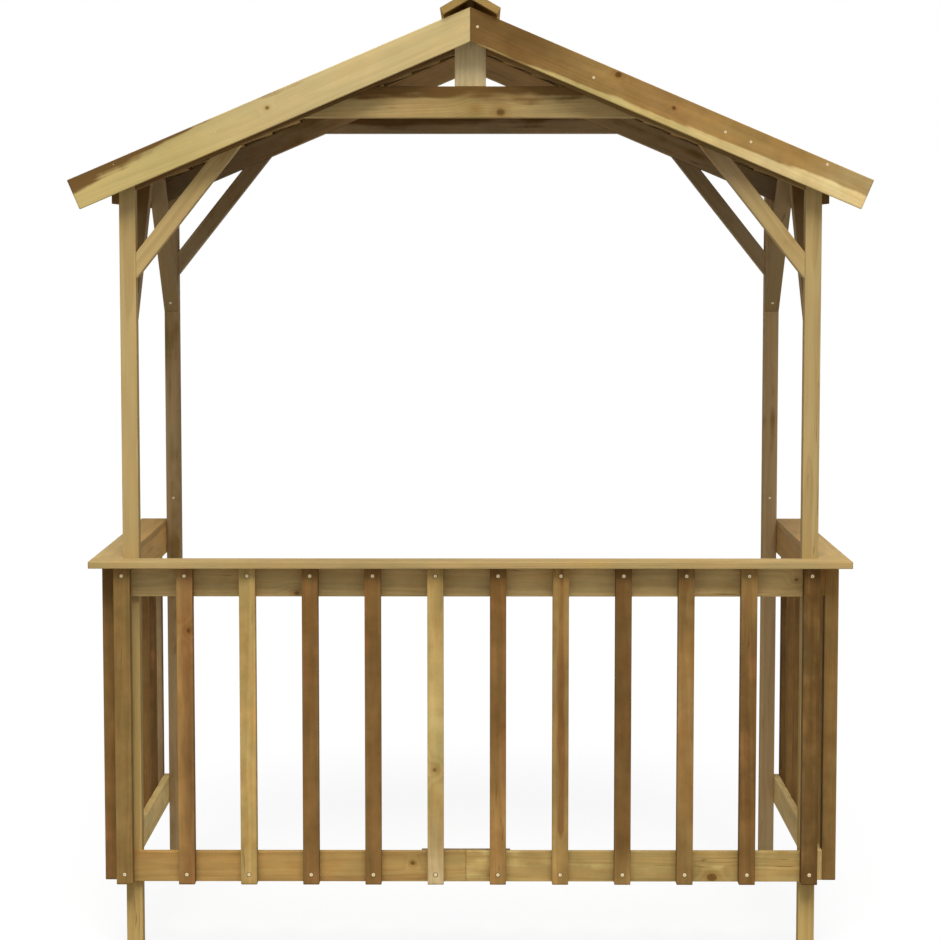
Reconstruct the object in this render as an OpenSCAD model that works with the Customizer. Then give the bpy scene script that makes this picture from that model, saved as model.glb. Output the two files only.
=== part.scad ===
// Open barbecue shelter in planed, pressure treated softwood.
// Four posts carry a pitched roof of lapped boards. A counter on balustrades
// closes the front and both sides, and the back is left open as the way in.

/* [Frame] */
// Width over the outer faces of the posts
frame_w = 1586; // [1200:1:2400]
// Depth over the outer faces of the posts
frame_d = 875; // [700:1:1600]
// Side of the square timber of the posts and braces
post_w = 37; // [30:0.5:60]

/* [Boards] */
// Width of the boards of the rails, counter, eaves and gable
board_w = 70; // [55:0.5:100]
// Thickness of those boards
board_t = 16; // [12:0.5:24]

/* [Roof] */
// Slope of the roof, in degrees
roof_pitch = 23; // [18:0.5:32]
// Height of the point where the lines of the rafter undersides meet
rafter_apex_z = 2077.5; // [1950:0.5:2400]
// Depth of a rafter, square to the slope
rafter_h = 50; // [38:0.5:70]
// Half width of the roof, to the top corner of a bargeboard
roof_half_w = 902; // [850:1:1300]
// Reach of a bargeboard's front face past the posts
roof_overhang = 50; // [30:1:90]
// Rise of the bargeboards' undersides above the undersides of the rafters
barge_lift = 6.5; // [0:0.5:12]
// Thickness of a roof board's thin edge
lap_thin = 5; // [4:0.5:8]
// Thickness of a roof board's thick edge
lap_thick = 11; // [9:0.5:16]
// Part of each roof board that shows on the slope
lap_gauge = 80; // [60:1:120]
// Overlap of one roof board on the next
lap_over = 20; // [12:1:35]
// Width of the flat strip where a roof board bears on the rafters
lap_bearing = 10; // [6:1:20]

/* [Ridge] */
// Depth of the ridge board between the gables
ridge_h = 54; // [40:1:70]
// Slope of the cap boards, in degrees
cap_pitch = 30; // [24:0.5:40]
// Half width of the ridge cap
cap_half_w = 68; // [50:1:110]
// Reach of the cap past the bargeboards
cap_overhang = 12; // [0:1:30]

/* [Gables] */
// Drop from the point of the rafter undersides to the underside of a tie beam
tie_drop = 159.5; // [130:0.5:260]
// Drop from the top of a post to the foot of a gable brace, along the post's inner face
gable_brace_drop = 200.5; // [120:0.5:400]
// Slope of a gable brace, in degrees
gable_brace_angle = 51.5; // [40:0.5:60]
// Drop from the top of an eaves rail to the foot of a side brace
side_brace_drop = 334; // [200:1:420]
// Slope of a side brace, in degrees
side_brace_angle = 47; // [40:0.5:58]

/* [Balustrade] */
// Height of the top of the counter
counter_z = 921; // [800:1:1100]
// Height of the underside of the bottom rails
rail_z = 175; // [80:1:300]
// Width of a baluster along its rail
baluster_w = 37; // [25:0.5:45]
// Thickness of a baluster across its rail
baluster_t = 32; // [25:0.5:45]
// Number of balusters across the front
front_balusters = 12; // [6:1:16]
// Number of balusters down each side
side_balusters = 7; // [4:1:9]
// Place of the joint in the front bottom rail, from the centre line
splice_x = -10; // [-60:1:60]
// Length of the plate behind that joint
splice_w = 204; // [120:1:300]

/* [Clearances] */
// Gap between roof boards that lap
lap_gap = 0.5; // [0.3:0.1:1.5]
// Gap between the two halves of the front bottom rail
splice_gap = 1; // [0.5:0.5:3]
// Gap between the upper ends of the two cap boards
cap_gap = 1; // [0.5:0.5:3]

/* [Hidden] */

// The posts' front faces stand at y = front_y, so that the whole shelter is centred
roof_reach = roof_overhang + cap_overhang;
front_reach = max(board_w, roof_reach);
front_y = (front_reach - frame_d - roof_reach) / 2;
rear_y = front_y + frame_d;
half_w = frame_w / 2;

// Roof lines: heights on the centre line, at the eaves and under the tie beams
rise = tan(roof_pitch);
rafter_rise = rafter_h / cos(roof_pitch);
rafter_top_z = rafter_apex_z + rafter_rise;
barge_top_z = rafter_apex_z + barge_lift + board_w / cos(roof_pitch);
eaves_top_z = rafter_top_z - half_w * rise;
tie_z = rafter_apex_z - tie_drop;

// Distance down the slope, from the rafters' top point to the cut end of the bargeboards
slope_len = roof_half_w * cos(roof_pitch)
    + (rafter_top_z - barge_top_z + roof_half_w * rise) * sin(roof_pitch);
end_set_back = board_t / 2;

// The ridge board stands in a slot in the rafters' top point
ridge_seat_z = rafter_top_z - board_t / 2;
ridge_top_z = ridge_seat_z + ridge_h;

// Roof boards: equal courses that fill the slope below the ridge board
lap_start = (board_t / 2 + lap_gap) / cos(roof_pitch);
lap_run = slope_len - end_set_back - lap_start - lap_over;
courses = ceil(lap_run / lap_gauge);
gauge = lap_run / courses;
lap_w = gauge + lap_over;
lap_lift = (lap_thin + (lap_thick - lap_thin) * lap_over / lap_w + lap_gap) / (1 - lap_over / lap_w);

// Heights in the balustrade
counter_under_z = counter_z - board_t;
top_rail_z = counter_under_z - board_w;
rail_face = half_w + board_t;

// --- shapes ---------------------------------------------------------------

// Mirrors a left piece onto the right side
module on_side(side) {
    if (side > 0) mirror([1, 0, 0]) children();
    else children();
}

// Turns a front piece round onto the rear
module on_gable(rear) {
    if (rear) translate([0, front_y + rear_y, 0]) mirror([0, 1, 0]) children();
    else children();
}

// Extrudes an outline drawn across the shelter, from y to y + depth
module across(y, depth) {
    translate([0, y + depth, 0]) rotate([90, 0, 0]) linear_extrude(depth) children();
}

// Extrudes an outline drawn from front to back, from x to x + width
module along(x, width) {
    translate([x, 0, 0]) rotate([90, 0, 90]) linear_extrude(width) children();
}

// Half gable below the line that meets the centre line at apex_z, down to the ground
module below_slope(apex_z) {
    polygon([[0, 0], [0, apex_z], [-2 * half_w, apex_z - 2 * half_w * rise], [-2 * half_w, 0]]);
}

// Strip down the left slope: its top line meets the centre line at apex_z
module slope_strip(apex_z, depth, length) {
    intersection() {
        translate([0, apex_z]) rotate(roof_pitch) translate([-length, -depth])
            square([length + depth, depth]);
        translate([-2 * half_w, 0]) square([2 * half_w, 2 * apex_z]);
    }
}

// --- frame ----------------------------------------------------------------

// Left front post: square timber, its top cut to the slope under the rafter
module post() {
    color("burlywood") across(front_y, post_w) intersection() {
        translate([-half_w, 0]) square([post_w, rafter_apex_z]);
        below_slope(rafter_apex_z);
    }
}

// Left front rafter: plumb cuts at the ridge and in line with the post's outer face
module rafter() {
    color("peru") across(front_y, post_w) difference() {
        intersection() {
            slope_strip(rafter_top_z, rafter_h, frame_w);
            translate([-half_w, 0]) square([half_w, rafter_top_z]);
        }
        translate([-board_t / 2, ridge_seat_z]) square([board_t, rafter_h]);
    }
}

// Front tie beam: runs between the rafters, its ends cut to their slope
module tie_beam() {
    color("burlywood") across(front_y, post_w) intersection() {
        translate([-half_w, tie_z]) square([frame_w, board_w]);
        both_slopes() below_slope(rafter_apex_z);
    }
}

// Front king post: stands on the tie beam and fills the point between the rafters
module king_post() {
    color("burlywood") across(front_y, post_w) intersection() {
        translate([-board_w / 2, tie_z + board_w]) square([board_w, rafter_apex_z]);
        both_slopes() below_slope(rafter_apex_z);
    }
}

// Left half of an outline together with its right half
module both_slopes() {
    children();
    mirror([1, 0]) children();
}

// Left front gable brace: from the post's inner face up to the rafter
module gable_brace() {
    inner_x = half_w - post_w;
    foot_z = rafter_apex_z - inner_x * rise - gable_brace_drop;
    color("burlywood") across(front_y, post_w) intersection() {
        translate([-inner_x, foot_z]) rotate(gable_brace_angle)
            translate([-post_w, 0]) square([frame_w, post_w]);
        translate([-inner_x, 0]) square([inner_x, rafter_apex_z]);
        below_slope(rafter_apex_z);
    }
}

// Left front side brace: from the post's rear face up to the roof boards, beside the eaves rail
module side_brace() {
    start_y = front_y + post_w;
    color("tan") along(-half_w, post_w) intersection() {
        translate([start_y, eaves_top_z - side_brace_drop]) rotate(side_brace_angle)
            translate([-post_w, 0]) square([frame_d, post_w]);
        translate([start_y, 0]) square([frame_d / 2 - post_w, eaves_top_z]);
    }
}

// Left eaves rail: on the posts and rafter ends, its top bevelled to the roof boards' slope
module eaves_rail() {
    color("tan") across(front_y, frame_d) intersection() {
        translate([-rail_face, eaves_top_z - board_w]) square([board_t, board_w]);
        below_slope(rafter_top_z);
    }
}

// --- roof -----------------------------------------------------------------

// Ridge board: stands on both gables and runs from bargeboard to bargeboard
module ridge_board() {
    length = frame_d + 2 * (roof_overhang - board_t);
    shoulder = ridge_top_z - board_t / 2 * tan(cap_pitch);
    color("tan") across(front_y - roof_overhang + board_t, length)
        polygon([
            [-board_t / 2, ridge_seat_z], [board_t / 2, ridge_seat_z],
            [board_t / 2, shoulder], [0, ridge_top_z], [-board_t / 2, shoulder],
        ]);
}

// Section of a roof board, drawn from its upper edge down the left slope
module lap_section() {
    polygon([
        [0, 0], [0, lap_thin], [-lap_w, lap_lift + lap_thick],
        [-lap_w, lap_lift], [-lap_bearing, 0],
    ]);
}

// Left roof boards: feather edged, each lapping the one below it
module roof_boards() {
    color("darkkhaki") across(front_y - roof_overhang + board_t, frame_d + 2 * (roof_overhang - board_t))
        translate([0, rafter_top_z]) rotate(roof_pitch)
            for (i = [0:courses - 1])
                translate([-lap_start - i * gauge, 0]) lap_section();
}

// Left ridge cap board: nailed to the bevelled top of the ridge board
module ridge_cap() {
    width = cap_half_w / cos(cap_pitch);
    color("burlywood") across(front_y - roof_reach, frame_d + 2 * roof_reach) intersection() {
        translate([0, ridge_top_z]) rotate(cap_pitch) translate([-width + board_t * tan(cap_pitch), 0])
            square([width + board_t, board_t]);
        translate([-half_w, 0]) square([half_w - cap_gap / 2, 2 * ridge_top_z]);
    }
}

// Front left bargeboard: plumb cut on the centre line, square cut at the eaves
module bargeboard() {
    color("wheat") across(front_y - roof_overhang, board_t)
        slope_strip(barge_top_z, board_w, roof_half_w / cos(roof_pitch));
}

// --- balustrade -----------------------------------------------------------

// Front counter board: lies wholly in front of the posts
module front_counter_board() {
    color("wheat") translate([-half_w - board_w, front_y - board_w, counter_under_z])
        cube([frame_w + 2 * board_w, board_w, board_t]);
}

// Left counter board: lies outside the posts, behind the front board's end
module side_counter_board() {
    color("wheat") translate([-half_w - board_w, front_y, counter_under_z])
        cube([board_w, frame_d, board_t]);
}

// Front top rail: on the front faces of the posts, under the counter
module front_top_rail() {
    color("peru") translate([-half_w, front_y - board_t, top_rail_z])
        cube([frame_w, board_t, board_w]);
}

// Rail on the left side at the given height: on the outer faces of the posts
module side_rail(z) {
    color("peru") translate([-rail_face, front_y, z]) cube([board_t, frame_d, board_w]);
}

// Part of the front bottom rail from the left end to the joint at the given x
module front_bottom_rail(joint_x) {
    color("goldenrod") translate([-half_w, front_y - board_t, rail_z])
        cube([half_w + joint_x - splice_gap / 2, board_t, board_w]);
}

// Plate behind the joint of the front bottom rail
module bottom_rail_splice() {
    color("tan") translate([splice_x - splice_w / 2, front_y, rail_z])
        cube([splice_w, board_t, board_w]);
}

// One baluster, from the bottom rail's underside to the counter, standing on [0, 0]
module baluster(width, depth) {
    translate([0, 0, rail_z]) cube([width, depth, counter_under_z - rail_z]);
}

// Front balusters: evenly spaced on the rails' front faces, from the outer face of the
// left side rail to the outer face of the right post
module front_baluster_row() {
    pitch = (rail_face + half_w - baluster_w) / (front_balusters - 1);
    color("burlywood") for (i = [0:front_balusters - 1])
        translate([-rail_face + i * pitch, front_y - board_t - baluster_t, 0])
            baluster(baluster_w, baluster_t);
}

// Left balusters: evenly spaced on the side rails' outer faces, from post to post
module side_baluster_row() {
    pitch = (frame_d - baluster_w) / (side_balusters - 1);
    color("burlywood") for (i = [0:side_balusters - 1])
        translate([-rail_face - baluster_t, front_y + i * pitch, 0])
            baluster(baluster_t, baluster_w);
}

// --- the shelter, node by node ----------------------------------------------

post();  // front_left_post
on_side(1) post();  // front_right_post
on_gable(true) post();  // rear_left_post
on_gable(true) on_side(1) post();  // rear_right_post
rafter();  // front_left_rafter
on_side(1) rafter();  // front_right_rafter
on_gable(true) rafter();  // rear_left_rafter
on_gable(true) on_side(1) rafter();  // rear_right_rafter
tie_beam();  // front_tie_beam
on_gable(true) tie_beam();  // rear_tie_beam
king_post();  // front_king_post
on_gable(true) king_post();  // rear_king_post
gable_brace();  // front_left_gable_brace
on_side(1) gable_brace();  // front_right_gable_brace
on_gable(true) gable_brace();  // rear_left_gable_brace
on_gable(true) on_side(1) gable_brace();  // rear_right_gable_brace
side_brace();  // front_left_side_brace
on_side(1) side_brace();  // front_right_side_brace
on_gable(true) side_brace();  // rear_left_side_brace
on_gable(true) on_side(1) side_brace();  // rear_right_side_brace
eaves_rail();  // left_eaves_rail
on_side(1) eaves_rail();  // right_eaves_rail
ridge_board();
roof_boards();  // left_roof_boards
on_side(1) roof_boards();  // right_roof_boards
ridge_cap();  // left_ridge_cap
on_side(1) ridge_cap();  // right_ridge_cap
bargeboard();  // front_left_bargeboard
on_side(1) bargeboard();  // front_right_bargeboard
on_gable(true) bargeboard();  // rear_left_bargeboard
on_gable(true) on_side(1) bargeboard();  // rear_right_bargeboard
front_counter_board();
side_counter_board();  // left_counter_board
on_side(1) side_counter_board();  // right_counter_board
front_top_rail();
side_rail(top_rail_z);  // left_top_rail
on_side(1) side_rail(top_rail_z);  // right_top_rail
front_bottom_rail(splice_x);  // front_left_bottom_rail
on_side(1) front_bottom_rail(-splice_x);  // front_right_bottom_rail
bottom_rail_splice();
side_rail(rail_z);  // left_bottom_rail
on_side(1) side_rail(rail_z);  // right_bottom_rail
front_baluster_row();
side_baluster_row();  // left_baluster_row
on_side(1) side_baluster_row();  // right_baluster_row
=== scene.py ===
"""Looks of an open timber barbecue shelter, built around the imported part.

Posts and gable frames come first, then the roof, the rails, the balusters and the
counter, and last the screws and the place it is shown in. Lengths are in metres."""
import math

import bpy
import numpy as np
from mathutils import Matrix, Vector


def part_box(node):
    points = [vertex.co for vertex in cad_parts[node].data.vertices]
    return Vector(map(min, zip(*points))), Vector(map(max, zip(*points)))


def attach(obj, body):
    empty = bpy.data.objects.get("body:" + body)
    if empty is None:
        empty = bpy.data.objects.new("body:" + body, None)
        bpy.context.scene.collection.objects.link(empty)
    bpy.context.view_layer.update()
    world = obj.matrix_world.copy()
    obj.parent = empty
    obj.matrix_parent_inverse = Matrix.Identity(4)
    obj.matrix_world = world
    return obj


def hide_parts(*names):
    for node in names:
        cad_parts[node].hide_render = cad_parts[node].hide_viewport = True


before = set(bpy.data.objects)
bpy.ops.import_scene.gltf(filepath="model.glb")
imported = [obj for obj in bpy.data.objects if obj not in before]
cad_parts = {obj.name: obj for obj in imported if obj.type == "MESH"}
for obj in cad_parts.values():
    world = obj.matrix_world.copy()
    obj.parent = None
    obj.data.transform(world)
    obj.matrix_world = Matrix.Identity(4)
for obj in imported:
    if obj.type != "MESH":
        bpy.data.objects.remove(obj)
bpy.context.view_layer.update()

# --- Posts -------------------------------------------------------------------
# Four posts of planed square softwood, pressure treated to a pale greenish tan.
# They stand on the ground, and their tops are cut to the slope of the roof: the rear
# ones under the rafters, the front ones level with the rafters' top edges.

draw = np.random.default_rng(23)
roof_pitch = math.radians(23)
down_left = np.array([-math.cos(roof_pitch), 0.0, -math.sin(roof_pitch)])
down_right = down_left * [-1, 1, 1]
roof_face_left = np.array([-math.sin(roof_pitch), 0.0, math.cos(roof_pitch)])
roof_face_right = roof_face_left * [-1, 1, 1]
to_right, to_rear, to_sky = np.eye(3)
to_front = -to_rear


def roof_slope(left):
    """Two directions of one side of the roof: down its slope, and square to it."""
    return (down_left, roof_face_left) if left else (down_right, roof_face_right)


wood_gloss = 0.04


def tone(red, green, blue):
    """Linear colour of a shade of wood given from 0 to 255: below the toe a straight
    line, above it a power of 2.4."""
    shade = np.array([red, green, blue]) / 255
    return np.where(shade < 0.04045, shade / 12.92, ((shade + 0.055) / 1.055) ** 2.4)


straw = tone(204, 182, 118)
sand = tone(190, 164, 110)
honey = tone(184, 156, 96)
ochre = tone(178, 143, 84)
amber = tone(160, 125, 74)
olive = tone(140, 113, 66)
umber = tone(126, 96, 54)
russet = tone(142, 98, 58)
bark = tone(106, 80, 44)
ash = tone(158, 134, 96)
# A greyer tone for parts seen in shade under the roof: painted shade, the dull grey that shade
# gives the wood.
shaded_grey = tone(140, 122, 92)
cream = tone(212, 190, 142)


def eased(corners, arris):
    """Outline of a planed section. Each corner gives way to a parabola that leaves one
    edge and meets the next at the arris length from the corner. Six more points on each
    edge, evenly apart, keep the face flat. Also returns how much each point is lightened
    as wear and as a painted highlight on the edge, which is 1 on the arrises and 0 on the faces."""
    corner = np.asarray(corners, float)
    ahead = np.roll(corner, -1, axis=0)
    if np.sum(corner[:, 0] * ahead[:, 1] - ahead[:, 0] * corner[:, 1]) < 0:
        corner = corner[::-1]
    before = np.roll(corner, 1, axis=0) - corner
    after = np.roll(corner, -1, axis=0) - corner
    before /= np.linalg.norm(before, axis=1, keepdims=True)
    after /= np.linalg.norm(after, axis=1, keepdims=True)
    t = np.array([0, 1, 2, 3])[None, :, None] / 3
    arc = (corner + before * arris)[:, None] * (1 - t) ** 2
    arc = arc + 2 * t * (1 - t) * corner[:, None]
    arc = arc + (corner + after * arris)[:, None] * t**2
    clear = arris * 2.4
    start = (corner + after * clear)[:, None]
    stop = np.roll((corner + before * clear)[:, None], -1, axis=0)
    flat = start + (stop - start) * np.linspace(0, 1, 6)[None, :, None]
    ring = np.concatenate([arc, flat], axis=1).reshape(-1, 2)
    return ring, np.tile([0.5, 1, 1, 0.5, 0, 0, 0, 0, 0, 0], len(corner))


def rectangle(width, depth):
    """Corners of a section centred on the origin, width across and depth to the face."""
    return np.array([[-1, -1], [1, -1], [1, 1], [-1, 1]]) * [width / 2, depth / 2]


def cut_timber(
    centre, along, face, corners, start, end, arris=0.0016, rows=12, end_ease=0.0009
):
    """A length of timber as a grid: the eased outline runs along the grain, and each of
    its points goes from the plane of the start cut to the plane of the end cut. A plane
    is a point and a normal. The last ring at each end is drawn in a little, so the cut's
    edges are eased too, and two rings close behind it keep the rest of the face flat."""
    across = np.cross(face, along)
    ring, wear_and_glint = eased(corners, arris)
    middle, size = (ring.max(0) + ring.min(0)) / 2, np.ptp(ring, axis=0)
    ease = min(end_ease, arris)
    scale = np.ones((rows + 6, 1, 2))
    scale[[0, -1]] = 1 - 2 * ease / size
    outline = middle + (ring[None] - middle) * scale
    base = centre + outline[..., :1] * across + outline[..., 1:] * face
    reach = [
        ((np.asarray(point) - base) @ normal) / (along @ np.asarray(normal))
        for point, normal in (start, end)
    ]
    share = min(ease / np.ptp(np.concatenate(reach)), 0.02)
    end_steps = np.array([0, share, 5 * share])
    middle_steps = np.linspace(0, 1, rows + 2)[1:-1]
    steps = np.concatenate([end_steps, middle_steps, 1 - end_steps[::-1]])
    run = reach[0] + steps[:, None] * (reach[1] - reach[0])
    end_grain = [1, 0.4, 0]
    cut = np.concatenate([end_grain, np.zeros(rows), end_grain[::-1]])
    return {
        "place": base + run[..., None] * along,
        "run": run,
        "across": outline[..., 0],
        "depth": outline[..., 1],
        "wear_and_glint": np.broadcast_to(wear_and_glint, run.shape),
        "cut": np.broadcast_to(cut[:, None], run.shape),
    }


def colour_timber(shape, tones, streak, band=-1.2, pith=None, slant=None, knots=()):
    """Gives a timber its own tree. Grain is the place measured from the pith, which
    drifts sideways along the length by the slant. Tint runs evenly through the tones from
    start to end, and the streak's colour through its own. Band is above 0 where the
    streak takes over. A knot is its run, its height across the face, its radius and how
    many radii it lies below the face, and it is a fifth longer along the grain; each of
    the three layers holds the distance from one knot's centre in its own radii."""
    run, across, depth = shape["run"], shape["across"], shape["depth"]
    t = (run - run.min()) / np.ptp(run)
    if pith is None:
        pith = (draw.uniform(-0.02, 0.02), draw.uniform(-0.075, -0.045))
    if slant is None:
        slant = draw.uniform(-0.02, 0.02)
    shift = draw.uniform(0, 60)
    for key, colours in (("tint", np.array(tones)), ("tint_b", np.atleast_2d(streak))):
        stops = np.linspace(0, 1, len(colours))
        shape[key] = np.stack([np.interp(t, stops, colours[:, c]) for c in range(3)], axis=-1)
    value = band(run, across) if callable(band) else np.full(run.shape, band)
    shape["band"] = np.stack([value, shape["wear_and_glint"], shape["cut"]], axis=-1)
    shape["grain"] = np.stack(
        [run + shift, across - pith[0] - slant * (run - run.mean()), depth - pith[1]], axis=-1
    )
    far_off = (99.0, 0.0, 0.01, 0.0)
    centres = [*knots, *[far_off] * (3 - len(knots))]
    for place, (knot_run, knot_across, radius, below) in enumerate(centres, 1):
        shape[f"knot_{place}"] = np.stack([
            (run - knot_run) / radius / 1.2, (across - knot_across) / radius, 0 * run + below,
        ], axis=-1)


def put_in_scene(name, data):
    """An object at the origin, linked to the scene."""
    thing = bpy.data.objects.new(name, data)
    bpy.context.scene.collection.objects.link(thing)
    return thing


def assemble(name, shapes, finish, slot, *nodes):
    """One mesh from one or more timbers. On a grid of rings and outline points each cell
    is a four sided face, and the first and the last ring are each closed by one face."""
    piece = bpy.data.meshes.new(name)
    faces, flat, count = [], [], 0
    for shape in shapes:
        rings, around = shape["run"].shape
        point = np.arange(rings * around).reshape(rings, around) + count
        ahead = np.roll(point, -1, axis=1)
        cells = np.stack([point[:-1], ahead[:-1], ahead[1:], point[1:]], axis=-1)
        faces += cells.reshape(-1, 4).tolist() + [point[0, ::-1].tolist(), point[-1].tolist()]
        flat += [True] * cells[..., 0].size + [False, False]
        count += rings * around
    piece.from_pydata(np.concatenate([s["place"].reshape(-1, 3) for s in shapes]), [], faces)
    piece.polygons.foreach_set("use_smooth", flat)
    for key in ("grain", "tint", "tint_b", "band", "knot_1", "knot_2", "knot_3"):
        values = np.concatenate([s[key].reshape(-1, 3) for s in shapes])
        layer = piece.attributes.new(key, "FLOAT_VECTOR", "POINT")
        layer.data.foreach_set("vector", values.astype(np.float32).ravel())
    piece.materials.append(finish)
    thing = put_in_scene(name, piece)
    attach(thing, "root")
    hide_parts(*nodes)


def add_node(tree, kind, inputs, out=0, **settings):
    """One output of a new node with its settings and inputs; an input that is a socket
    gets linked."""
    node = tree.nodes.new(kind)
    for key, value in settings.items():
        setattr(node, key, value)
    for key, value in inputs.items():
        if isinstance(value, bpy.types.NodeSocket):
            tree.links.new(value, node.inputs[key])
        else:
            node.inputs[key].default_value = value
    return node.outputs[out]


def wood_finish(
    name, ring_gap, ring_depth, fibre_depth, roughness, mottle=1.0, flecks=0.4, saw_marks=0.0
):
    """Planed softwood. Growth rings are the distance from the pith divided by the ring
    gap, pushed about by slow noise and swollen round knots; fibres are noise drawn out
    along the grain; streaks of the second colour start where slow noise plus the band
    passes zero; mottle is the depth of the long blotches, and flecks that of the short
    ones, which are redder where they are darker. Knots are near where the distance in
    their radii is under about 1, with rings of their own and a brown halo."""
    late_wood = (0.62, 0.51, 0.36, 1)
    knot_halo = (0.66, 0.52, 0.34, 1)
    knot_heart = (0.32, 0.23, 0.15)
    end_grain = (0.80, 0.78, 0.74, 1)
    crack = (0.24, 0.16, 0.09, 1)
    material = bpy.data.materials.new(name)
    material.use_nodes = True
    tree = material.node_tree
    shader = tree.nodes["Principled BSDF"]

    def calc(operation, a, b=0.0):
        return add_node(tree, "ShaderNodeMath", {0: a, 1: b}, operation=operation)

    def ramp(value, low, high, bottom=0.0, top=1.0):
        limits = {0: value, 1: low, 2: high, 3: bottom, 4: top}
        return add_node(tree, "ShaderNodeMapRange", limits, interpolation_type="SMOOTHSTEP")

    def vector(operation, a, b):
        return add_node(tree, "ShaderNodeVectorMath", {0: a, 1: b}, operation=operation)

    def length(a):
        return add_node(tree, "ShaderNodeVectorMath", {0: a}, out=1, operation="LENGTH")

    def scale(a, gain):
        return add_node(tree, "ShaderNodeVectorMath", {0: a, 3: gain}, operation="SCALE")

    def swing(value, depth):
        return calc("MULTIPLY", calc("SUBTRACT", value, 0.5), depth)

    def noise(place, stretch, detail=2.0, out=0):
        scaled = vector("MULTIPLY", place, stretch)
        sockets = {"Vector": scaled, "Scale": 1.0, "Detail": detail, "Roughness": 0.55}
        return add_node(tree, "ShaderNodeTexNoise", sockets, out=out)

    def layer(key):
        return add_node(tree, "ShaderNodeAttribute", {}, out=1, attribute_name=key)

    def mix(share, a, b, blend="MIX"):
        sockets = {0: share, 6: a, 7: b}
        return add_node(tree, "ShaderNodeMix", sockets, 2, data_type="RGBA", blend_type=blend)

    grain, tint, tint_b = layer("grain"), layer("tint"), layer("tint_b")
    parts = tree.nodes.new("ShaderNodeSeparateXYZ")
    tree.links.new(layer("band"), parts.inputs[0])
    band, wear_and_glint, cut = parts.outputs

    # The grain's slow bends, and how near the closest knot is
    drift = vector("SUBTRACT", noise(grain, (1.6, 9, 9), out=1), (0.5, 0.5, 0.5))
    bent = vector("ADD", grain, vector("MULTIPLY", drift, (0, 0.016, 0.016)))
    jitter = vector("SUBTRACT", noise(grain, (70, 90, 90), out=1), (0.5, 0.5, 0.5))
    jitter = vector("MULTIPLY", jitter, (0.5, 0.5, 0))
    far_from_knots = 50.0
    near, swelling = far_from_knots, 0.0
    for key in ("knot_1", "knot_2", "knot_3"):
        knot = length(vector("ADD", layer(key), jitter))
        squared = calc("MULTIPLY", calc("MULTIPLY", knot, knot), -0.12)
        swelling = calc("ADD", calc("EXPONENT", squared), swelling)
        near = calc("MINIMUM", knot, near)

    # Rings, fibres and blotches, from the finest to the broadest
    radius = length(vector("MULTIPLY", bent, (0, 1, 1)))
    radius = calc("ADD", radius, calc("MULTIPLY", swelling, 0.009))
    ring = calc("FRACT", calc("DIVIDE", radius, ring_gap))
    late = calc("MULTIPLY", ramp(ring, 0.2, 0.8), ramp(ring, 1.0, 0.92))
    fibre = noise(grain, (9, 620, 620), 3.0)
    ribbon = noise(bent, (1.1, 60, 60), 2.0)
    patch = noise(grain, (2.5, 16, 16), 3.0)
    cloud = noise(bent, (9, 30, 30), 2.0)
    stain = noise(vector("ADD", bent, (7.3, 0, 0)), (5, 21, 21), 2.0)
    fleck = calc("SUBTRACT", noise(bent, (20, 22, 22), 3.0), 0.5)

    # Colour: the two tints, then rings, blotches, knots, end grain and cracks over them
    share = calc("ADD", swing(ribbon, 3.5), swing(stain, 4.0))
    share = calc("ADD", share, calc("MULTIPLY", fleck, 2.0))
    colour = mix(ramp(calc("ADD", share, band), -0.7, 0.7), tint, tint_b)
    late_share = calc("MULTIPLY", late, calc("ADD", calc("MULTIPLY", cut, 0.25), ring_depth))
    colour = mix(late_share, colour, late_wood, "MULTIPLY")
    warm = mix(ramp(cloud, 0.36, 0.64), (-0.10, -0.06, -0.13, 1), (0.10, 0.04, -0.02, 1))
    warm = vector("ADD", vector("MULTIPLY", warm, (mottle,) * 3), (1, 1, 1))
    colour = vector("MULTIPLY", colour, warm)
    blotch = vector("MULTIPLY", fleck, (0.85 * flecks, flecks, 1.25 * flecks))
    colour = vector("MULTIPLY", colour, vector("ADD", blotch, (1, 1, 1)))
    gain = swing(fibre, fibre_depth)
    gain = calc("ADD", gain, swing(patch, 0.45 * mottle))
    gain = calc("ADD", gain, swing(stain, -0.35 * mottle))
    gain = calc("ADD", gain, swing(ribbon, 0.28))
    # Arrises are 5% lighter: a painted highlight where edges catch the light, and wear.
    gain = calc("ADD", gain, calc("ADD", calc("MULTIPLY", wear_and_glint, 0.05), 1.0))
    colour = scale(colour, gain)
    colour = mix(ramp(near, 2.6, 0.8, 0, 0.5), colour, knot_halo, "MULTIPLY")
    knot_rings = calc("SINE", calc("MULTIPLY", near, 13.0))
    dark = scale(vector("MULTIPLY", tint, knot_heart), ramp(knot_rings, -1, 1, 0.85, 1.25))
    colour = mix(ramp(near, 1.25, 0.75, 0, 0.85), colour, dark)
    colour = mix(calc("MULTIPLY", cut, 0.8), colour, end_grain, "MULTIPLY")
    thread = noise(bent, (2.2, 120, 120), 1.0)
    check = ramp(calc("ABSOLUTE", calc("SUBTRACT", thread, 0.5)), 0.012, 0.004)
    check = calc("MULTIPLY", check, ramp(noise(grain, (3, 22, 22), 1.0), 0.62, 0.68))
    colour = mix(calc("MULTIPLY", check, 0.55), colour, crack, "MULTIPLY")
    tree.links.new(colour, shader.inputs["Base Color"])

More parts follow.
